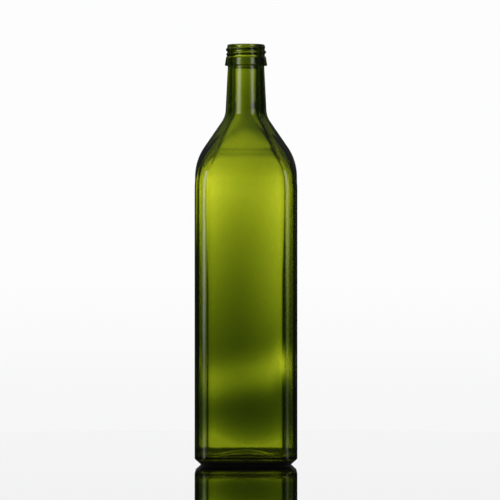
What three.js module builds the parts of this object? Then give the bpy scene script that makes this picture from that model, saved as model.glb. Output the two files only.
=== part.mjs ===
// Square glass oil bottle: a flat-sided body on a bevelled heel, sloping shoulders that turn round,
// a tapered neck, and a screw finish with a tamper-band bead. It is one piece of glass, open at the mouth.
// Millimetres, +Z up. The origin is the middle of the base, on the plane that the bottle stands on.
import * as THREE from "three";
import { mergeVertices } from "three/addons/utils/BufferGeometryUtils.js";

// Driving dimensions
const HEIGHT = 307;
const HALF_WIDTH = 37.25;          // body, middle to flat side
const CORNER_RADIUS = 10.8;        // upright corners of the body, outside
const INNER_CORNER_RADIUS = 9;     // looser than a parallel wall's, so the glass is thicker in the corners
const WALL = 3.05;

// Base
const FOOT_HALF = 31.8;            // outer edge of the standing ring
const RING_WIDTH = 4.5;
const HEEL_HEIGHT = 5.2;           // bevel between the standing ring and the flat sides
const HEEL_ROUNDING = 1.2;         // crisp edge between the bevel and the flat side
const PUSH_UP = 4.4;               // hollow under the base
const FLOOR_HEIGHT = 10.5;         // top of the domed floor inside
const FLOOR_DOME_RADIUS = 64;
const FLOOR_FILLET = 5.5;          // floor to side wall, inside

// Shoulder and neck
const SHOULDER_HEIGHT = 210.4;     // where the flat sides start to lean in
const SHOULDER_RADIUS = 37.8;
const INNER_SHOULDER_DROP = 1;     // how much sooner the wall leans in on the inside
const SLOPE = THREE.MathUtils.degToRad(34.5);      // shoulder slope, from upright
const NECK_FILLET = 16.7;          // outside, where the slope turns up into the neck
const NECK_BASE_RADIUS = 14.9;
const NECK_BASE_HEIGHT = 259.6;
const NECK_TOP_RADIUS = 13.35;     // under the bead
const BORE_TOP_RADIUS = 10;
const BORE_BASE_RADIUS = 10.7;     // at the same height as the neck's base
const SQUARE_UNTIL = 200;          // below this height the sections are square
const ROUND_FROM = 254;            // above this height they are round
const DOME_ROUND_REACH = 12;       // the floor and the hollow under it are round within this reach
const DOME_SQUARE_REACH = 30;      // and square beyond this one

// Screw finish
const BEAD_BOTTOM = 291.4;
const BEAD_HEIGHT = 6.2;
const BEAD_RADIUS = 15.45;
const BEAD_TOP_RADIUS = 14.6;
const BEAD_LIP = 0.9;              // upright edge at the foot of the bead
const BEAD_EASE = 0.5;             // rounding of that edge
const ROOT_RISE = 0.9;             // slope from the top of the bead to the thread's root
const ROOT_RADIUS = 13.8;          // between the threads
const RIM_ROUNDING = 1.3;
const THREAD_DEPTH = 0.95;
const THREAD_FOOT = 1.35;          // half the width of the ridge at its root
const THREAD_CREST = 0.4;          // half the width of its top
const THREAD_PITCH = 3.55;
const THREAD_START_HEIGHT = 299.2;
const THREAD_START_TURN = 0.4;     // in turns from +X
const THREAD_TURNS = 1.65;
const THREAD_RUNOUT = 0.15;        // turns over which each end fades into the wall

// Steps round the bottle: each quarter is half a flat side, a corner, and half a flat side
const HALF_FLAT_STEPS = 4;
const CORNER_STEPS = 6;
const QUARTER_STEPS = 2 * HALF_FLAT_STEPS + CORNER_STEPS;
const AROUND = 4 * QUARTER_STEPS;

// Steps up the profile
const SHOULDER_STEPS = 7;
const SLOPE_STEPS = 3;
const NECK_FILLET_STEPS = 5;
const DOME_STEPS = 5;              // the hollow under the base, and the floor above it
const FLOOR_FILLET_STEPS = 7;
const HEEL_STEPS = 3;
const RIM_STEPS = 4;
const THREAD_ROWS = 16;

// Points along an arc of the profile, from one angle to another, both in radians
function arc(centreX, centreY, radius, from, to, steps) {
  const curve = new THREE.EllipseCurve(centreX, centreY, radius, radius, from, to, to < from);
  return curve.getPoints(steps);
}

// Points along a straight part of the profile
function line(start, end, steps) {
  return new THREE.LineCurve(start, end).getPoints(steps);
}

// The curved shoulder: an arc that leans in to the slope, the straight slope, and the fillet up to the neck.
// neckRadius and neckHeight are a point on the neck's side, and neckLean is the taper there.
function shoulder(halfWidth, startHeight, radius, neckRadius, neckHeight, neckLean, fillet) {
  const lean = arc(halfWidth - radius, startHeight, radius, 0, SLOPE, SHOULDER_STEPS);
  const top = lean[lean.length - 1];
  const slopeTan = Math.tan(SLOPE);
  const neckTan = Math.tan(neckLean);
  const meetHeight = (top.x - neckRadius + top.y * slopeTan - neckHeight * neckTan) / (slopeTan - neckTan);
  const meetRadius = top.x - (meetHeight - top.y) * slopeTan;
  const tangent = fillet * Math.tan((SLOPE - neckLean) / 2);
  const centreX = meetRadius + tangent * Math.sin(SLOPE) + fillet * Math.cos(SLOPE);
  const centreY = meetHeight - tangent * Math.cos(SLOPE) + fillet * Math.sin(SLOPE);
  const turn = arc(centreX, centreY, fillet, Math.PI + SLOPE, Math.PI + neckLean, NECK_FILLET_STEPS);
  const slope = line(top, turn[0], SLOPE_STEPS).slice(1, -1);
  return [...lean, ...slope, ...turn];
}

function outerProfile() {
  const ringInner = FOOT_HALF - RING_WIDTH;
  const domeRadius = (ringInner * ringInner + PUSH_UP * PUSH_UP) / (2 * PUSH_UP);
  const domeAngle = Math.asin(ringInner / domeRadius);
  const underside = arc(
    0, PUSH_UP - domeRadius, domeRadius, Math.PI / 2, Math.PI / 2 - domeAngle, DOME_STEPS,
  );
  underside[0].x = 0;

  const bevel = Math.atan2(HEEL_HEIGHT, HALF_WIDTH - FOOT_HALF);
  const heelTangent = HEEL_ROUNDING * Math.tan((Math.PI / 2 - bevel) / 2);
  const heel = arc(
    HALF_WIDTH - HEEL_ROUNDING, HEEL_HEIGHT + heelTangent, HEEL_ROUNDING, bevel - Math.PI / 2, 0, HEEL_STEPS,
  );

  const neckLean = Math.atan2(NECK_BASE_RADIUS - NECK_TOP_RADIUS, BEAD_BOTTOM - NECK_BASE_HEIGHT);
  const lean = shoulder(
    HALF_WIDTH, SHOULDER_HEIGHT, SHOULDER_RADIUS, NECK_BASE_RADIUS, NECK_BASE_HEIGHT, neckLean, NECK_FILLET,
  );
  const beadTop = BEAD_BOTTOM + BEAD_HEIGHT;
  const finish = [
    new THREE.Vector2(NECK_TOP_RADIUS, BEAD_BOTTOM),
    new THREE.Vector2(BEAD_RADIUS - BEAD_EASE, BEAD_BOTTOM),
    new THREE.Vector2(BEAD_RADIUS, BEAD_BOTTOM + BEAD_EASE),
    new THREE.Vector2(BEAD_RADIUS, BEAD_BOTTOM + BEAD_LIP),
    new THREE.Vector2(BEAD_TOP_RADIUS, beadTop),
  ];
  const threadWall = line(
    new THREE.Vector2(ROOT_RADIUS, beadTop + ROOT_RISE),
    new THREE.Vector2(ROOT_RADIUS, HEIGHT - RIM_ROUNDING),
    THREAD_ROWS,
  );
  const rim = arc(
    ROOT_RADIUS - RIM_ROUNDING, HEIGHT - RIM_ROUNDING, RIM_ROUNDING, 0, Math.PI / 2, RIM_STEPS,
  ).slice(1);
  return [...underside, new THREE.Vector2(FOOT_HALF, 0), ...heel, ...lean, ...finish, ...threadWall, ...rim];
}

function innerProfile() {
  const halfWidth = HALF_WIDTH - WALL;
  const rimInner = BORE_TOP_RADIUS + RIM_ROUNDING;
  const rim = arc(rimInner, HEIGHT - RIM_ROUNDING, RIM_ROUNDING, Math.PI / 2, Math.PI, RIM_STEPS);

  const boreLean = Math.atan2(BORE_BASE_RADIUS - BORE_TOP_RADIUS, HEIGHT - NECK_BASE_HEIGHT);
  const lean = shoulder(
    halfWidth, SHOULDER_HEIGHT - INNER_SHOULDER_DROP, SHOULDER_RADIUS - WALL,
    BORE_BASE_RADIUS, NECK_BASE_HEIGHT, boreLean, NECK_FILLET + WALL,
  );

  const filletX = halfWidth - FLOOR_FILLET;
  const reach = FLOOR_DOME_RADIUS + FLOOR_FILLET;
  const domeCentre = FLOOR_HEIGHT - FLOOR_DOME_RADIUS;
  const filletY = domeCentre + Math.sqrt(reach * reach - filletX * filletX);
  const meet = Math.acos(filletX / reach);
  const fillet = arc(filletX, filletY, FLOOR_FILLET, 0, meet - Math.PI, FLOOR_FILLET_STEPS);
  const floor = arc(0, domeCentre, FLOOR_DOME_RADIUS, meet, Math.PI / 2, DOME_STEPS).slice(1);
  floor[floor.length - 1].x = 0;
  return [...rim, ...lean.reverse(), ...fillet, ...floor];
}

// A point of a square section with rounded corners, for a half width of 1
function squarePoint(step, corner) {
  const quarter = Math.floor(step / QUARTER_STEPS);
  const along = step % QUARTER_STEPS;
  const middle = 1 - corner;
  const point = new THREE.Vector2();
  if (along <= HALF_FLAT_STEPS) {
    point.set(1, middle * along / HALF_FLAT_STEPS);
  } else if (along < HALF_FLAT_STEPS + CORNER_STEPS) {
    const turn = (Math.PI / 2) * (along - HALF_FLAT_STEPS) / CORNER_STEPS;
    point.set(middle + corner * Math.cos(turn), middle + corner * Math.sin(turn));
  } else {
    point.set(middle * (QUARTER_STEPS - along) / HALF_FLAT_STEPS, 1);
  }
  return point.rotateAround(new THREE.Vector2(), quarter * Math.PI / 2);
}

// The same point of a round section
function roundPoint(step) {
  const turn = 2 * Math.PI * step / AROUND;
  return new THREE.Vector2(Math.cos(turn), Math.sin(turn));
}

// How round a section is, from 0, square, to 1, round: both at the neck and towards the middle of the base
function roundness(reach, height) {
  const atNeck = THREE.MathUtils.smoothstep(height, SQUARE_UNTIL, ROUND_FROM);
  const atMiddle = 1 - THREE.MathUtils.smoothstep(reach, DOME_ROUND_REACH, DOME_SQUARE_REACH);
  return height < SQUARE_UNTIL ? atMiddle : atNeck;
}

// How far the thread stands out of its root at a turn, counted from +X, and a height. It is one start of
// right-hand thread, so each full turn lifts it by the pitch, and the wall can meet it on more than one lap.
function threadHeight(turn, height) {
  let out = 0;
  for (let lap = 0; lap <= Math.ceil(THREAD_TURNS); lap += 1) {
    const along = turn + lap - THREAD_START_TURN;
    const fromEnd = Math.min(along, THREAD_TURNS - along);
    const fade = THREE.MathUtils.smoothstep(fromEnd, 0, THREAD_RUNOUT);
    const offset = Math.abs(height - THREAD_START_HEIGHT - THREAD_PITCH * along);
    const ridge = THREE.MathUtils.clamp((THREAD_FOOT - offset) / (THREAD_FOOT - THREAD_CREST), 0, 1);
    out = Math.max(out, THREAD_DEPTH * fade * ridge);
  }
  return out;
}

// The profile is turned as on a lathe, and then each section is squared as far as its height asks
function glassBody() {
  const outer = outerProfile();
  const profile = [...outer, ...innerProfile()];
  const geometry = new THREE.LatheGeometry(profile, AROUND);
  const position = geometry.attributes.position;
  for (let index = 0; index < position.count; index += 1) {
    const row = index % profile.length;
    const step = Math.floor(index / profile.length) % AROUND;
    const { x: reach, y: height } = profile[row];
    const isOuter = row < outer.length;
    const isThreaded = isOuter && reach === ROOT_RADIUS;
    const halfWidth = isThreaded ? reach + threadHeight(step / AROUND, height) : reach;
    const corner = isOuter
      ? CORNER_RADIUS / HALF_WIDTH
      : INNER_CORNER_RADIUS / (HALF_WIDTH - WALL);
    const section = squarePoint(step, corner).lerp(roundPoint(step), roundness(reach, height));
    position.setXYZ(index, halfWidth * section.x, halfWidth * section.y, height);
  }
  geometry.deleteAttribute("normal");
  geometry.deleteAttribute("uv");
  const closed = mergeVertices(geometry);
  closed.computeVertexNormals();
  return closed;
}

const greenGlass = new THREE.MeshStandardMaterial({
  color: 0x6f7f12,
  roughness: 0.04,
  metalness: 0,
  transparent: true,
  opacity: 0.45,
});

const bottle = new THREE.Mesh(glassBody(), greenGlass);
bottle.name = "bottle";

const model = new THREE.Group();
model.add(bottle);

export default model;
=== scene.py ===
# A tall square bottle of green glass for oil, empty and open, standing on a pale polished surface.
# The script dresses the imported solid: one glass piece, modelled again with a fine surface, takes its place.
import math

import bpy
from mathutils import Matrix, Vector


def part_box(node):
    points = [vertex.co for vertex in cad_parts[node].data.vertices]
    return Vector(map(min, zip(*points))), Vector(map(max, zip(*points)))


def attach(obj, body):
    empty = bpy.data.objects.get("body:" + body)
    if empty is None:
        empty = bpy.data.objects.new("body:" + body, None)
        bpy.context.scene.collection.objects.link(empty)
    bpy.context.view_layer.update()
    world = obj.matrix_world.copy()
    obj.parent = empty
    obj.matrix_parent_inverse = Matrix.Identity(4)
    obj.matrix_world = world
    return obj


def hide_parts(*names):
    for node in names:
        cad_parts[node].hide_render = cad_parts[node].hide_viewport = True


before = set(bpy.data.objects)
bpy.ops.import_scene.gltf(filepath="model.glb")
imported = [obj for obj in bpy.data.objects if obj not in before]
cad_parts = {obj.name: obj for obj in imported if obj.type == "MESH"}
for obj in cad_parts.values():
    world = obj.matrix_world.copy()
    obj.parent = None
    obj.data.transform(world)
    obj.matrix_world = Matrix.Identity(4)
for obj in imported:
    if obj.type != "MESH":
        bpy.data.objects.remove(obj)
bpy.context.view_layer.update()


# The camera stands level with the middle of the bottle, three metres off and a touch to its right,
# square on to one flat side.
MM = 0.001
CAMERA_DISTANCE = 3.0
CAMERA_HEIGHT = 156.6 * MM
CAMERA_RIGHT = 2.9 * MM
FIELD_WIDTH = 365.8 * MM      # what the picture takes in at the bottle's distance
SENSOR_WIDTH = 36

bpy.ops.object.camera_add(
    location=(CAMERA_RIGHT, -CAMERA_DISTANCE, CAMERA_HEIGHT), rotation=(math.radians(90), 0, 0)
)
camera = bpy.context.object
camera.data.sensor_width = SENSOR_WIDTH
camera.data.lens = SENSOR_WIDTH * CAMERA_DISTANCE / FIELD_WIDTH
bpy.context.scene.camera = camera
bpy.context.scene.view_settings.view_transform = "Standard"


# The bottle's glass wall. The real one is blown in a two-part mould, so its sides are flat with rounded
# upright corners, and the wall inside follows them more loosely. Its foot is bevelled, and the middle of
# the base is pushed up. Each surface is a ring of edges, drawn out row by row. Sizes are in millimetres.
half_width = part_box("bottle")[1][0] / MM
full_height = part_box("bottle")[1][2] / MM
CORNER_RADIUS = 10.8
INNER_CORNER_RADIUS = 9.0
WALL = 3.05
FOOT_HALF = 31.8
FOOT_ROUNDING = 0.5
RING_WIDTH = 4.5
HEEL_HEIGHT = 5.2
HEEL_ROUNDING = 1.2
PUSH_UP = 4.4
FLOOR_HEIGHT = 10.5
FLOOR_DOME_RADIUS = 64.0
FLOOR_FILLET = 5.5
SHOULDER_HEIGHT = 210.4
SHOULDER_RADIUS = 37.8
SLOPE = math.radians(34.5)
NECK_FILLET = 16.7
NECK_BASE_RADIUS = 14.9
NECK_BASE_HEIGHT = 259.6
NECK_TOP_RADIUS = 13.35
BORE_TOP_RADIUS = 10.0
BORE_BASE_RADIUS = 10.7
SQUARE_UNTIL = 200.0
ROUND_FROM = 254.0
DOME_ROUND_REACH = 12.0
DOME_SQUARE_REACH = 30.0
BEAD_BOTTOM = 291.4
BEAD_HEIGHT = 6.2
BEAD_RADIUS = 15.45
BEAD_TOP_RADIUS = 14.6
BEAD_LIP = 0.9
BEAD_EASE = 0.5
ROOT_RISE = 0.9
ROOT_RADIUS = 13.8
RIM_ROUNDING = 1.3
INNER_SHOULDER_DROP = 1.0
BORE_END_RISE = 3.0           # where the bore's own surface ends, above the foot of the neck
START_HEIGHT = 20.0           # the row that each ring starts from, low on the straight body
CORNER_EDGES = 14
FLAT_CUTS = 27
POLE_REACH = 0.4              # the last ring round the middle of the base, before it closes
ROW_TOLERANCE = 0.001
SEAM_TOLERANCE = 0.01
SEAM_MARGIN = 0.5
SMOOTH_ANGLE = math.radians(40)


def arc(centre_x, centre_z, radius, start, end, steps):
    """Points (reach, height) along an arc of the outline, in so many steps, without its first."""
    points = []
    for step in range(1, steps + 1):
        angle = start + (end - start) * step / steps
        points.append((centre_x + radius * math.cos(angle), centre_z + radius * math.sin(angle)))
    return points


def line(start, end, steps):
    """Points along a straight stretch, in so many steps, without its first."""
    return [
        (start[0] + (end[0] - start[0]) * step / steps, start[1] + (end[1] - start[1]) * step / steps)
        for step in range(1, steps + 1)
    ]


def smooth(value, low, high):
    """Passes smoothly from 0 to 1 as a value goes from low to high."""
    share = min(max((value - low) / (high - low), 0), 1)
    return share * share * (3 - 2 * share)


def roundness(reach, height):
    """How round a section is, from 0, square, to 1, round, at the neck and in the middle of the base."""
    if height < SQUARE_UNTIL:
        return 1 - smooth(reach, DOME_ROUND_REACH, DOME_SQUARE_REACH)
    return smooth(height, SQUARE_UNTIL, ROUND_FROM)


def shoulder(half, start_height, radius, neck, neck_lean, fillet):
    """The shoulder's arc, its straight slope and the fillet into the neck, whose foot is the point neck."""
    lean = arc(half - radius, start_height, radius, 0, SLOPE, 22)
    top = lean[-1]
    slope_tan = math.tan(SLOPE)
    neck_tan = math.tan(neck_lean)
    meet_height = (top[0] - neck[0] + top[1] * slope_tan - neck[1] * neck_tan) / (slope_tan - neck_tan)
    meet_reach = top[0] - (meet_height - top[1]) * slope_tan
    tangent = fillet * math.tan((SLOPE - neck_lean) / 2)
    centre_x = meet_reach + tangent * math.sin(SLOPE) + fillet * math.cos(SLOPE)
    centre_z = meet_height - tangent * math.cos(SLOPE) + fillet * math.sin(SLOPE)
    turn = arc(centre_x, centre_z, fillet, math.pi + SLOPE, math.pi + neck_lean, 14)
    return lean + line(top, turn[0], 8) + turn[1:]


def start_ring(half, corner):
    """A square ring of edges with rounded corners, and its mean reach as a share of its half width."""
    bpy.ops.object.select_all(action="DESELECT")
    bpy.ops.mesh.primitive_plane_add(size=2 * half * MM, location=(0, 0, START_HEIGHT * MM))
    ring = bpy.context.object
    bpy.ops.object.transform_apply(location=True, rotation=True, scale=True)
    bpy.ops.object.mode_set(mode="EDIT")
    bpy.ops.mesh.select_all(action="SELECT")
    bpy.ops.mesh.bevel(offset=corner * MM, offset_type="OFFSET", segments=CORNER_EDGES, affect="VERTICES")
    bpy.ops.mesh.select_all(action="DESELECT")
    bpy.ops.mesh.select_mode(type="EDGE")
    bpy.ops.object.mode_set(mode="OBJECT")
    points = ring.data.vertices
    for edge in ring.data.edges:
        a, b = (points[index].co for index in edge.vertices)
        edge.select = (a - b).length > half * MM
    bpy.ops.object.mode_set(mode="EDIT")
    bpy.ops.mesh.subdivide(number_cuts=FLAT_CUTS)
    bpy.ops.mesh.select_all(action="SELECT")
    bpy.ops.mesh.delete(type="ONLY_FACE")
    bpy.ops.object.mode_set(mode="OBJECT")
    reaches = [math.hypot(point.co.x, point.co.y) for point in ring.data.vertices]
    return ring, sum(reaches) / len(reaches) / (half * MM)


def select_row(piece, height):
    """Selects the vertices of one row, and goes into edit mode with them."""
    bpy.ops.object.mode_set(mode="EDIT")
    bpy.ops.mesh.select_mode(type="VERT")
    bpy.ops.mesh.select_all(action="DESELECT")
    bpy.ops.object.mode_set(mode="OBJECT")
    for point in piece.data.vertices:
        point.select = abs(point.co.z - height * MM) < ROW_TOLERANCE * MM
    bpy.ops.object.mode_set(mode="EDIT")


def draw_out(rows, half, mean):
    """Extrudes the selected ring through rows of (reach, height), and rounds it as the place asks. Rounding
    keeps the ring's mean reach, so each row is then brought to its own reach."""
    height = START_HEIGHT
    round_now = 0.0
    for next_half, next_height in rows:
        round_next = max(roundness(next_half, next_height), round_now)
        bpy.ops.mesh.extrude_region_move(
            TRANSFORM_OT_translate={"value": (0, 0, (next_height - height) * MM)}
        )
        if round_next > round_now:
            bpy.ops.transform.tosphere(value=(round_next - round_now) / (1 - round_now))
        was = 1 - round_now + round_now * mean
        reach = half * (1 - round_next + round_next * mean) / was
        growth = next_half / reach
        bpy.ops.transform.resize(value=(growth, growth, 1), center_override=(0, 0, next_height * MM))
        half, height, round_now = next_half, next_height, round_next


# Outside, from the straight body up over the rim and down the bore
neck_foot = (NECK_BASE_RADIUS, NECK_BASE_HEIGHT)
neck_lean = math.atan2(NECK_BASE_RADIUS - NECK_TOP_RADIUS, BEAD_BOTTOM - NECK_BASE_HEIGHT)
bead_top = BEAD_BOTTOM + BEAD_HEIGHT
rise = line((half_width, START_HEIGHT), (half_width, SQUARE_UNTIL), 20)
rise += line((half_width, SQUARE_UNTIL), (half_width, SHOULDER_HEIGHT), 6)
rise += shoulder(half_width, SHOULDER_HEIGHT, SHOULDER_RADIUS, neck_foot, neck_lean, NECK_FILLET)
rise += line(rise[-1], (NECK_TOP_RADIUS, BEAD_BOTTOM - BEAD_EASE), 12)
rise += arc(NECK_TOP_RADIUS + BEAD_EASE, BEAD_BOTTOM - BEAD_EASE, BEAD_EASE, math.pi, math.pi / 2, 3)
rise += line(rise[-1], (BEAD_RADIUS - BEAD_EASE, BEAD_BOTTOM), 3)
rise += arc(BEAD_RADIUS - BEAD_EASE, BEAD_BOTTOM + BEAD_EASE, BEAD_EASE, -math.pi / 2, 0, 4)
rise += line(rise[-1], (BEAD_RADIUS, BEAD_BOTTOM + BEAD_LIP), 2)
rise += line(rise[-1], (BEAD_TOP_RADIUS, bead_top), 8)
rise += line(rise[-1], (ROOT_RADIUS, bead_top + ROOT_RISE), 3)
rise += line(rise[-1], (ROOT_RADIUS, full_height - RIM_ROUNDING), 10)
rise += arc(ROOT_RADIUS - RIM_ROUNDING, full_height - RIM_ROUNDING, RIM_ROUNDING, 0, math.pi / 2, 7)
rise += line(rise[-1], (BORE_TOP_RADIUS + RIM_ROUNDING, full_height), 2)
rise += arc(
    BORE_TOP_RADIUS + RIM_ROUNDING, full_height - RIM_ROUNDING, RIM_ROUNDING, math.pi / 2, math.pi, 7
)
rise += line(rise[-1], (BORE_BASE_RADIUS, NECK_BASE_HEIGHT + BORE_END_RISE), 14)

# Outside, from the straight body down round the heel and under the base
ring_inner = FOOT_HALF - RING_WIDTH
hollow_radius = (ring_inner ** 2 + PUSH_UP ** 2) / (2 * PUSH_UP)
hollow_angle = math.asin(ring_inner / hollow_radius)
bevel_angle = math.atan2(HEEL_HEIGHT, half_width - FOOT_HALF)
heel_tangent = HEEL_ROUNDING * math.tan((math.pi / 2 - bevel_angle) / 2)
foot_tangent = FOOT_ROUNDING * math.tan(bevel_angle / 2)
heel_centre = (half_width - HEEL_ROUNDING, HEEL_HEIGHT + heel_tangent)
foot_centre = (FOOT_HALF - foot_tangent, FOOT_ROUNDING)
under = line((half_width, START_HEIGHT), (half_width, heel_centre[1]), 5)
under += arc(*heel_centre, HEEL_ROUNDING, 0, bevel_angle - math.pi / 2, 8)
foot_turn = arc(*foot_centre, FOOT_ROUNDING, bevel_angle - math.pi / 2, -math.pi / 2, 5)
bevel_end = (
    foot_centre[0] + FOOT_ROUNDING * math.sin(bevel_angle),
    foot_centre[1] - FOOT_ROUNDING * math.cos(bevel_angle),
)
under += line(under[-1], bevel_end, 5) + foot_turn
under += line(under[-1], (ring_inner, 0), 3)
under += arc(0, PUSH_UP - hollow_radius, hollow_radius, math.pi / 2 - hollow_angle, math.pi / 2, 18)[:-1]
under += [(POLE_REACH, under[-1][1])]

bottle, mean_reach = start_ring(half_width, CORNER_RADIUS)
select_row(bottle, START_HEIGHT)
draw_out(rise, half_width, mean_reach)
select_row(bottle, START_HEIGHT)
draw_out(under, half_width, mean_reach)
bpy.ops.mesh.merge(type="CENTER")
bpy.ops.object.mode_set(mode="OBJECT")

# Inside, from the straight body up to the foot of the neck
inner_half = half_width - WALL
bore_lean = math.atan2(BORE_BASE_RADIUS - BORE_TOP_RADIUS, full_height - NECK_BASE_HEIGHT)
bore_foot = (BORE_BASE_RADIUS, NECK_BASE_HEIGHT)
inner_rise = line((inner_half, START_HEIGHT), (inner_half, SQUARE_UNTIL), 40)
inner_shoulder = SHOULDER_HEIGHT - INNER_SHOULDER_DROP
inner_rise += line((inner_half, SQUARE_UNTIL), (inner_half, inner_shoulder), 6)
inner_rise += shoulder(
    inner_half, inner_shoulder, SHOULDER_RADIUS - WALL, bore_foot, bore_lean, NECK_FILLET + WALL
)

# Inside, from the straight body down to the domed floor
fillet_x = inner_half - FLOOR_FILLET
dome_centre = FLOOR_HEIGHT - FLOOR_DOME_RADIUS
dome_reach = FLOOR_DOME_RADIUS + FLOOR_FILLET
fillet_z = dome_centre + math.sqrt(dome_reach ** 2 - fillet_x ** 2)
fillet_end = math.acos(fillet_x / dome_reach)
inner_fall = line((inner_half, START_HEIGHT), (inner_half, fillet_z), 3)
inner_fall += arc(fillet_x, fillet_z, FLOOR_FILLET, 0, fillet_end - math.pi, 18)
inner_fall += arc(0, dome_centre, FLOOR_DOME_RADIUS, fillet_end, math.pi / 2, 16)[:-1]
inner_fall += [(POLE_REACH, inner_fall[-1][1])]

inside, inner_mean = start_ring(inner_half, INNER_CORNER_RADIUS)
select_row(inside, START_HEIGHT)
draw_out(inner_rise, inner_half, inner_mean)
select_row(inside, START_HEIGHT)
draw_out(inner_fall, inner_half, inner_mean)
bpy.ops.mesh.merge(type="CENTER")
bpy.ops.object.mode_set(mode="OBJECT")

# The two surfaces meet where the bore opens into the shoulder
bpy.ops.object.select_all(action="DESELECT")
inside.select_set(True)
bottle.select_set(True)
bpy.context.view_layer.objects.active = bottle
bpy.ops.object.join()
bore_end = rise[-1][1]
inner_end = inner_rise[-1][1]
bpy.ops.object.mode_set(mode="EDIT")
bpy.ops.mesh.select_mode(type="VERT")
bpy.ops.mesh.select_all(action="DESELECT")
bpy.ops.object.mode_set(mode="OBJECT")
for point in bottle.data.vertices:
    in_bore = math.hypot(point.co.x, point.co.y) < (BORE_BASE_RADIUS + SEAM_MARGIN) * MM
    from_ends = [abs(point.co.z - end * MM) for end in (bore_end, inner_end)]
    point.select = in_bore and min(from_ends) < SEAM_TOLERANCE * MM
bpy.ops.object.mode_set(mode="EDIT")
bpy.ops.mesh.bridge_edge_loops()
bpy.ops.mesh.select_all(action="SELECT")
bpy.ops.mesh.normals_make_consistent(inside=False)
bpy.ops.object.mode_set(mode="OBJECT")


# The screw thread, one start of right-hand thread pressed in the mould with the rest of the finish. It is
# a rounded ridge wound up the wall that sinks in at both ends, and is joined to the bottle.
THREAD_DEPTH = 0.95
THREAD_HALF_WIDTH = 1.25
THREAD_ROOTING = 0.45         # how deep in the wall the ridge has its middle
THREAD_PITCH = 3.55
THREAD_START_HEIGHT = 299.2
THREAD_START_TURN = 0.4       # in turns from +X
THREAD_TURNS = 1.65
THREAD_RUNOUT = 0.15
THREAD_STEPS = 132
THREAD_EDGES = 14
THREAD_END = 0.25             # what is left of the section at each end, inside the wall

bpy.ops.object.select_all(action="DESELECT")
bpy.ops.mesh.primitive_circle_add(
    vertices=THREAD_EDGES, radius=1, fill_type="NGON", rotation=(math.radians(90), 0, 0)
)
thread = bpy.context.object
bpy.ops.object.transform_apply(location=True, rotation=True, scale=True)
bpy.ops.object.mode_set(mode="EDIT")
bpy.ops.mesh.select_all(action="SELECT")
bpy.ops.transform.resize(
    value=((THREAD_DEPTH + THREAD_ROOTING) * MM * THREAD_END, 1, THREAD_HALF_WIDTH * MM * THREAD_END),
    center_override=(0, 0, 0),
)
thread_middle = (ROOT_RADIUS - THREAD_ROOTING) * MM
bpy.ops.transform.translate(value=(thread_middle, 0, THREAD_START_HEIGHT * MM))
# With no window a turn goes the other way round
bpy.ops.transform.rotate(value=-2 * math.pi * THREAD_START_TURN, orient_axis="Z", center_override=(0, 0, 0))
size_now = THREAD_END
for step in range(1, THREAD_STEPS + 1):
    along = THREAD_TURNS * step / THREAD_STEPS
    turn = 2 * math.pi * (THREAD_START_TURN + along)
    height = (THREAD_START_HEIGHT + THREAD_PITCH * along) * MM
    size_next = THREAD_END + (1 - THREAD_END) * smooth(min(along, THREAD_TURNS - along), 0, THREAD_RUNOUT)
    bpy.ops.mesh.extrude_region_move(
        TRANSFORM_OT_translate={"value": (0, 0, THREAD_PITCH * THREAD_TURNS / THREAD_STEPS * MM)}
    )
    bpy.ops.transform.rotate(
        value=-2 * math.pi * THREAD_TURNS / THREAD_STEPS, orient_axis="Z", center_override=(0, 0, 0)
    )
    growth = size_next / size_now
    bpy.ops.transform.resize(
        value=(growth, growth, growth),
        center_override=(thread_middle * math.cos(turn), thread_middle * math.sin(turn), height),
    )
    size_now = size_next
bpy.ops.mesh.select_all(action="SELECT")
bpy.ops.mesh.normals_make_consistent(inside=False)
bpy.ops.object.mode_set(mode="OBJECT")

bpy.ops.object.select_all(action="DESELECT")
bottle.select_set(True)
bpy.context.view_layer.objects.active = bottle
join = bottle.modifiers.new("join thread", "BOOLEAN")
join.operation = "UNION"
join.solver = "EXACT"
join.object = thread
bpy.ops.object.modifier_apply(modifier=join.name)
bpy.data.objects.remove(thread)
bpy.ops.object.shade_smooth_by_angle(angle=SMOOTH_ANGLE)
bottle.name = "glass_bottle"


class Value:
    """A node socket that takes part in sums, each of which adds its Math node."""

    def __init__(self, tree, socket):
        self.tree = tree
        self.socket = socket

    def math(self, operation, other=None, swapped=False):
        node = self.tree.nodes.new("ShaderNodeMath")
        node.operation = operation
        first, second = (1, 0) if swapped else (0, 1)
        self.tree.links.new(self.socket, node.inputs[first])
        if isinstance(other, Value):
            self.tree.links.new(other.socket, node.inputs[second])
        elif other is not None:
            node.inputs[second].default_value = other
        return Value(self.tree, node.outputs[0])

    def __add__(self, other):
        return self.math("ADD", other)

    def __radd__(self, other):
        return self.math("ADD", other)

    def __sub__(self, other):
        return self.math("SUBTRACT", other)

    def __rsub__(self, other):
        return self.math("SUBTRACT", other, swapped=True)

    def __mul__(self, other):
        return self.math("MULTIPLY", other)

    def __rmul__(self, other):
        return self.math("MULTIPLY", other)


def add_node(tree, kind, settings=None, **inputs):
    """A node of one kind. Its settings are set first, and then the values or links of its sockets."""
    node = tree.nodes.new(kind)
    for name, value in (settings or {}).items():
        setattr(node, name, value)
    for name, value in inputs.items():
        socket = node.inputs[name.replace("_", " ")]
        if isinstance(value, Value):
            tree.links.new(value.socket, socket)
        elif isinstance(value, bpy.types.NodeSocket):
            tree.links.new(value, socket)
        else:
            socket.default_value = value
    return node


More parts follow.
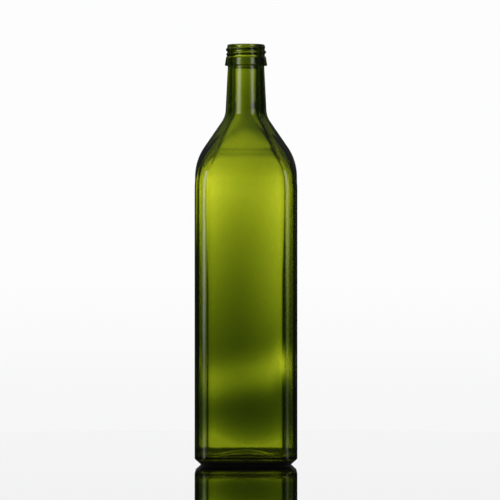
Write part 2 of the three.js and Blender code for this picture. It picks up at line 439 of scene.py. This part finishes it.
def green_glass():
    """Yellow-green bottle glass: clear, with the tint in its body and a faintly uneven polished skin."""
    material = bpy.data.materials.new("green bottle glass")
    material.use_nodes = True
    tree = material.node_tree
    tree.nodes.clear()
    place = add_node(tree, "ShaderNodeTexCoord").outputs["Object"]
    swell = add_node(tree, "ShaderNodeTexNoise", Vector=place, Scale=38.0, Detail=1.0, Roughness=0.4)
    grain = add_node(tree, "ShaderNodeTexNoise", Vector=place, Scale=420.0, Detail=2.0, Roughness=0.5)
    height = Value(tree, swell.outputs["Fac"]) + 0.04 * Value(tree, grain.outputs["Fac"])
    skin = add_node(tree, "ShaderNodeBump", Strength=0.35, Distance=0.0006, Height=height)
    glass = add_node(
        tree, "ShaderNodeBsdfPrincipled", Normal=skin.outputs["Normal"], Base_Color=(1, 1, 1, 1),
        Roughness=0.0, IOR=1.52, Transmission_Weight=1.0,
    )
    tint = add_node(tree, "ShaderNodeVolumeAbsorption", Color=(0.859, 0.875, 0.525, 1), Density=1600.0)
    output = add_node(tree, "ShaderNodeOutputMaterial")
    tree.links.new(glass.outputs["BSDF"], output.inputs["Surface"])
    tree.links.new(tint.outputs["Volume"], output.inputs["Volume"])
    return material


bottle.data.materials.clear()
bottle.data.materials.append(green_glass())
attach(bottle, "root")
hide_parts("bottle")


# The surface that it stands on: a round pale table top, polished till it mirrors the bottle's foot. The
# glass itself doesn't show it, because the bottle is lit through a tent of its own.
TABLE_RADIUS = 0.57
TABLE_EDGES = 180
SLAB_COLOUR = (0.65, 0.65, 0.66, 1)
SLAB_ROUGHNESS = 0.03

bpy.ops.object.select_all(action="DESELECT")
bpy.ops.mesh.primitive_circle_add(
    vertices=TABLE_EDGES, radius=TABLE_RADIUS, fill_type="NGON", location=(0, 0, 0)
)
floor = bpy.context.object
floor.name = "floor"
slab = bpy.data.materials.new("pale polished slab")
slab.use_nodes = True
slab_shader = slab.node_tree.nodes["Principled BSDF"]
slab_shader.inputs["Base Color"].default_value = SLAB_COLOUR
slab_shader.inputs["Metallic"].default_value = 1.0
slab_shader.inputs["Roughness"].default_value = SLAB_ROUGHNESS
floor.data.materials.append(slab)
floor.visible_glossy = False
floor.visible_transmission = False


# The light tent, a lit cloth hung round the bottle, which only light that has come through the glass can
# see. Its heights are in metres, and its turns in degrees from straight behind the bottle, the right as
# plus. A fade is given as (from, to), or (from, to, value before, value after), a lobe as (middle, width).
TENT_RADIUS = 0.22
TENT_BOTTOM = -0.05
TENT_TOP = 0.6
TENT_EDGES = 96
TENT_STRENGTH = 1.63
RED_FALL = 1.15               # dim cloth has less red and much less blue than green
BLUE_FALL = 1.7


def lobe(value, middle, width):
    """1 where a value is at the middle, falling off evenly to both sides."""
    away = (value - middle) * (1 / width)
    return (away * away * -1.0).math("EXPONENT")


def fade(value, low, high, start=0.0, end=1.0):
    """Passes smoothly from start to end as a value goes from low to high."""
    node = add_node(
        value.tree, "ShaderNodeMapRange", {"interpolation_type": "SMOOTHSTEP"}, Value=value, From_Min=low,
        From_Max=high, To_Min=start, To_Max=end,
    )
    return Value(value.tree, node.outputs["Result"])


def lit_surface(tree, red, green, blue, strength):
    """A black surface that glows, with a colour that changes over it."""
    colour = add_node(tree, "ShaderNodeCombineColor", Red=red, Green=green, Blue=blue)
    return add_node(
        tree, "ShaderNodeBsdfPrincipled", Base_Color=(0, 0, 0, 1), Roughness=1.0, Specular_IOR_Level=0.0,
        Emission_Color=colour.outputs["Color"], Emission_Strength=strength,
    )


SIDE_TURN = 6.0               # the turn that counts as one to the side, near the bottle's edge
SIDE_LIMIT = 1.1
SEAM_FADE = (90.0, 170.0, 1.0, 0.0)

GLOW_AT_KNEE = 0.148          # the cloth's brightness at KNEE_HEIGHT, from where it grows upwards
KNEE_HEIGHT = 0.0976
GROWTH_HEIGHT = 0.062
GLOW_LIMIT = 0.8
SHOULDER_DIMMING = (0.241, 0.256, 1.0, 0.41)
NECK_GLOW = (0.268, 0.288, 0.0, 0.07)
BEAD_DIMMING = (0.291, 0.308, 1.0, 0.4)
GLOW_END = (0.33, 0.36, 1.0, 0.0)
BODY_BOWL = (0.215, 0.24, 0.48, 0.15)       # how much brighter it is to both sides, by height
SHOULDER_BOWL = (0.247, 0.262, 0.0, 0.65)
RIGHT_START = (-3.0, 8.0)
RIGHT_LOBE = (0.135, 0.055)
RIGHT_GAIN = 0.21
RIGHT_LOSS = (0.185, 0.215, 0.0, 0.24)

BAND_HEIGHT = 0.0588
BAND_WIDTH = 0.014
BAND_GLOW = 0.28
BAND_TILT = 0.08              # how much brighter it gets towards the right
BAND_BOWL = 0.17
BAND_CLIMB = 0.0045
BAND_HOOK_START = 0.8         # from this far to the right the band turns up more
BAND_HOOK_CLIMB = 0.015

FOOT_GLOW = 0.47
FOOT_GLOW_HEIGHT = 0.002
FOOT_GLOW_FADE = 0.009
FOOT_GLOW_BOWL = 0.0062
FOOT_GLOW_TILT = 0.0023
FOOT_GLOW_END = (-0.002, 0.001)


def glow_behind(height, turn, reach):
    """The cloth behind the bottle: brightest at shoulder height, with a lit band and a glow at its foot."""
    side = (turn * (1 / SIDE_TURN)).math("MINIMUM", SIDE_LIMIT).math("MAXIMUM", -SIDE_LIMIT)
    seam = fade(reach, *SEAM_FADE)
    side = side * seam
    bowl = side * side

    grown = ((height - KNEE_HEIGHT) * (1 / GROWTH_HEIGHT)).math("EXPONENT") * GLOW_AT_KNEE
    body = grown.math("MINIMUM", GLOW_LIMIT) * fade(height, *SHOULDER_DIMMING)
    body = (body + fade(height, *NECK_GLOW)) * fade(height, *BEAD_DIMMING) * fade(height, *GLOW_END)
    right = lobe(height, *RIGHT_LOBE) * RIGHT_GAIN - fade(height, *RIGHT_LOSS)
    right = right * fade(turn, *RIGHT_START) * seam
    sides = fade(height, *BODY_BOWL) + fade(height, *SHOULDER_BOWL)
    body = (body * (bowl * sides + 1.0) + right).math("MAXIMUM", 0.0)

    hook = (side - BAND_HOOK_START).math("MAXIMUM", 0.0) * BAND_HOOK_CLIMB
    band = lobe(height - side * BAND_CLIMB - hook, BAND_HEIGHT, BAND_WIDTH)
    band = band * (side * BAND_TILT + bowl * BAND_BOWL + BAND_GLOW)

    above_foot = height - FOOT_GLOW_HEIGHT - bowl * FOOT_GLOW_BOWL + side * FOOT_GLOW_TILT
    foot = (above_foot * (-1 / FOOT_GLOW_FADE)).math("EXPONENT").math("MINIMUM", 1.0)
    foot = foot * fade(height, *FOOT_GLOW_END) * FOOT_GLOW
    return body + band + foot


LEFT_START = (-4.0, 4.0, 1.0, 0.0)
EDGE_SOFTNESS = 4.0
WIDE_BODY = (0.12, 0.2, 14.0, 22.0)         # how far to each side the cloth is lit, in degrees, by height
WIDE_SHOULDER = (0.243, 0.258, 0.0, -16.0)
WIDE_NECK = (0.261, 0.267, 0.0, 5.0)
WIDE_LEFT = (0.12, 0.2, 5.5, 12.0)
WIDE_LEFT_NECK = (0.225, 0.262, 0.0, -9.0)
WIDE_LEFT_LOBE = (0.256, 0.01)
WIDE_LEFT_GAIN = 5.0
ROUND_GLOW = (70.0, 110.0, 0.0, 0.55)       # the sides and the front of the cloth, seen from elsewhere
CORNER_LOBE = (-27.0, 9.0)
CORNER_GLOW = (0.13, 0.2, 0.05, 0.2)
STRAY_GLOW = 0.03


def lit_share(height, turn, reach):
    """How much of that glow the cloth has at each turn: all behind, hardly any beside, half in front."""
    left = fade(turn, *LEFT_START)
    wide = fade(height, *WIDE_BODY) + fade(height, *WIDE_SHOULDER) + fade(height, *WIDE_NECK)
    wide = wide + left * (fade(height, *WIDE_LEFT) + fade(height, *WIDE_LEFT_NECK))
    wide = wide + left * lobe(height, *WIDE_LEFT_LOBE) * WIDE_LEFT_GAIN
    behind = fade(reach - wide, -EDGE_SOFTNESS, EDGE_SOFTNESS, 1.0, 0.0)
    corner = left * lobe(turn, *CORNER_LOBE) * fade(height, *CORNER_GLOW)
    return behind.math("MAXIMUM", fade(reach, *ROUND_GLOW)) + corner + STRAY_GLOW


WINDOW_LOBE = (-42.0, 20.0)
WINDOW_BOTTOM = (0.15, 0.22)
WINDOW_TOP = (0.235, 0.262, 1.1, 0.05)
SPOT_TURN_LOBE = (20.0, 7.5)
SPOT_HEIGHT_LOBE = (0.067, 0.0095)
SPOT_GLOW = 1.25
CEILING_LOBE = (35.0, 14.0)
CEILING_BOTTOM = (0.308, 0.328)
CEILING_TOP = (0.36, 0.42, 0.25, 0.0)
LOW_GLOW = (-0.01, 0.06, 0.25, 0.0)
LEAST_GLOW = 0.003


def small_lights(height, turn, reach):
    """What else shines: a window on the left, a spot low on the right, the ceiling and the low front."""
    window = lobe(turn, *WINDOW_LOBE) * fade(height, *WINDOW_BOTTOM) * fade(height, *WINDOW_TOP)
    spot = lobe(turn, *SPOT_TURN_LOBE) * lobe(height, *SPOT_HEIGHT_LOBE) * SPOT_GLOW
    ceiling = lobe(reach, *CEILING_LOBE) * fade(height, *CEILING_BOTTOM) * fade(height, *CEILING_TOP)
    low = fade(reach, *ROUND_GLOW) * fade(height, *LOW_GLOW)
    return window + spot + ceiling + low + LEAST_GLOW


def tent_cloth():
    """The cloth round the bottle, with its light worked out from its height and turn."""
    material = bpy.data.materials.new("lit tent cloth")
    material.use_nodes = True
    tree = material.node_tree
    tree.nodes.clear()
    place = add_node(tree, "ShaderNodeTexCoord").outputs["Object"]
    parts = add_node(tree, "ShaderNodeSeparateXYZ", Vector=place)
    across, back, height = (Value(tree, parts.outputs[axis]) for axis in "XYZ")
    turn = across.math("ARCTAN2", back) * math.degrees(1)
    reach = turn.math("ABSOLUTE")
    light = glow_behind(height, turn, reach) * lit_share(height, turn, reach)
    light = light + small_lights(height, turn, reach)
    glow = lit_surface(
        tree, light.math("POWER", RED_FALL), light, light.math("POWER", BLUE_FALL), TENT_STRENGTH
    )
    output = add_node(tree, "ShaderNodeOutputMaterial")
    tree.links.new(glow.outputs["BSDF"], output.inputs["Surface"])
    return material


def only_through_glass(piece):
    piece.visible_camera = False
    piece.visible_diffuse = False
    piece.visible_glossy = False
    piece.visible_shadow = False


bpy.ops.object.select_all(action="DESELECT")
bpy.ops.mesh.primitive_cylinder_add(
    vertices=TENT_EDGES, radius=TENT_RADIUS, depth=TENT_TOP - TENT_BOTTOM, end_fill_type="NOTHING",
    location=(0, 0, (TENT_TOP + TENT_BOTTOM) / 2),
)
tent = bpy.context.object
bpy.ops.object.transform_apply(location=True, rotation=True, scale=True)
tent.name = "light_tent"
tent.data.materials.append(tent_cloth())
only_through_glass(tent)


GROUND_FRONT = (-0.07, -0.01, 0.6, 0.0)
# painted shadow: the ground's glow is dimmest round the middle, where the bottle stands
GROUND_SHADOW_BY_LENGTH = (0.05, 0.12, 0.01, 0.08)


def tent_ground():
    """The cloth under the bottle, bright in front, and dark behind, darkest where the bottle stands: a
    painted shadow of the bottle.
    """
    material = bpy.data.materials.new("tent ground cloth")
    material.use_nodes = True
    tree = material.node_tree
    tree.nodes.clear()
    place = add_node(tree, "ShaderNodeTexCoord").outputs["Object"]
    measure = add_node(tree, "ShaderNodeVectorMath", {"operation": "LENGTH"}, Vector=place)
    length = measure.outputs["Value"]
    parts = add_node(tree, "ShaderNodeSeparateXYZ", Vector=place)
    front = fade(Value(tree, parts.outputs["Y"]), *GROUND_FRONT)
    # the glow by distance from the middle, lowest where the bottle stands, is a painted shadow of the bottle
    light = fade(Value(tree, length), *GROUND_SHADOW_BY_LENGTH) + front
    glow = lit_surface(tree, light, light, light, strength=1.0)
    output = add_node(tree, "ShaderNodeOutputMaterial")
    tree.links.new(glow.outputs["BSDF"], output.inputs["Surface"])
    return material


bpy.ops.object.select_all(action="DESELECT")
bpy.ops.mesh.primitive_circle_add(
    vertices=TENT_EDGES, radius=TENT_RADIUS, fill_type="NGON", location=(0, 0, TENT_BOTTOM)
)
ground = bpy.context.object
bpy.ops.object.transform_apply(location=True, rotation=True, scale=True)
ground.name = "tent_ground"
ground.data.materials.append(tent_ground())
only_through_glass(ground)


# Two tall strip lights in front, left and right of the camera, which draw the bright lines down the
# rounded corners and the neck. Only the polished glass mirrors them.
STRIP_DISTANCE = 0.6
STRIP_HEIGHT = 0.7
STRIP_MIDDLE = 0.25
STRIP_REACH = 2               # how many of its widths the strip's cloth reaches to each side
STRIP_FOOT_END = 0.02


def strip_light(name, from_camera, width, low, high, low_height, high_height, foot):
    """A soft strip at an angle from the camera, whose light grows from low at one height to high."""
    angle = math.radians(from_camera)
    bpy.ops.object.select_all(action="DESELECT")
    place = (STRIP_DISTANCE * math.sin(angle), -STRIP_DISTANCE * math.cos(angle), STRIP_MIDDLE)
    bpy.ops.mesh.primitive_plane_add(size=1, location=place, rotation=(math.radians(90), 0, angle))
    strip = bpy.context.object
    half_strip = STRIP_DISTANCE * math.tan(math.radians(STRIP_REACH * width))
    strip.scale = (2 * half_strip, STRIP_HEIGHT, 1)
    bpy.ops.object.transform_apply(location=True, rotation=True, scale=True)
    strip.name = name
    material = bpy.data.materials.new(name)
    material.use_nodes = True
    tree = material.node_tree
    tree.nodes.clear()
    place = add_node(tree, "ShaderNodeTexCoord").outputs["Object"]
    parts = add_node(tree, "ShaderNodeSeparateXYZ", Vector=place)
    across, back, height = (Value(tree, parts.outputs[axis]) for axis in "XYZ")
    turn = across.math("ARCTAN2", back * -1.0) * math.degrees(1)
    light = (height - low_height) * ((high - low) / (high_height - low_height)) + low
    light = light.math("MAXIMUM", low).math("MINIMUM", high)
    light = light + fade(height, -STRIP_FOOT_END, STRIP_FOOT_END, foot, 0.0)
    light = light * lobe(turn, from_camera, width)
    glow = lit_surface(tree, light, light, light, strength=1.0)
    path = add_node(tree, "ShaderNodeLightPath")
    clear = add_node(tree, "ShaderNodeBsdfTransparent")
    mix = add_node(tree, "ShaderNodeMixShader", Fac=path.outputs["Is Singular Ray"])
    tree.links.new(clear.outputs["BSDF"], mix.inputs[1])
    tree.links.new(glow.outputs["BSDF"], mix.inputs[2])
    output = add_node(tree, "ShaderNodeOutputMaterial")
    tree.links.new(mix.outputs["Shader"], output.inputs["Surface"])
    strip.data.materials.append(material)
    strip.visible_camera = False
    strip.visible_diffuse = False
    strip.visible_transmission = False
    strip.visible_shadow = False


strip_light(
    "strip_left", from_camera=-42.5, width=11,
    low=0.6, high=4.0, low_height=0.03, high_height=0.165, foot=0.9,
)
strip_light(
    "strip_right", from_camera=38, width=10,
    low=0.4, high=3.0, low_height=0.1, high_height=0.28, foot=0.5,
)


# The room. It is white to the eye and to the slab, a little less so low down, and to the polished glass
# it is dark, save for a dim ceiling.
ROOM_COLOUR = (0.995, 0.995, 1.0, 1)
WHITE_LOW = 0.93
WHITE_HIGH = 0.985
WHITE_RISE = (-0.045, 0.0)
DARK_LOW = 0.03
DARK_HIGH = 0.12
DARK_RISE = (0.1, 0.8)

world = bpy.data.worlds.new("studio")
bpy.context.scene.world = world
world.use_nodes = True
tree = world.node_tree
tree.nodes.clear()
path = add_node(tree, "ShaderNodeLightPath")
direction = add_node(tree, "ShaderNodeTexCoord").outputs["Generated"]
rise_up = Value(tree, add_node(tree, "ShaderNodeSeparateXYZ", Vector=direction).outputs["Z"])


def room_light(strength):
    return add_node(tree, "ShaderNodeBackground", Color=ROOM_COLOUR, Strength=strength).outputs["Background"]


def blend(share, first, second):
    """A mix of two shaders: the first where the share is 0, the second where it is 1."""
    node = add_node(tree, "ShaderNodeMixShader", Fac=share)
    tree.links.new(first, node.inputs[1])
    tree.links.new(second, node.inputs[2])
    return node.outputs["Shader"]


white = blend(fade(rise_up, *WHITE_RISE), room_light(WHITE_LOW), room_light(WHITE_HIGH))
dark = blend(fade(rise_up, *DARK_RISE), room_light(DARK_LOW), room_light(DARK_HIGH))
output = add_node(tree, "ShaderNodeOutputWorld")
tree.links.new(blend(path.outputs["Is Singular Ray"], white, dark), output.inputs["Surface"])
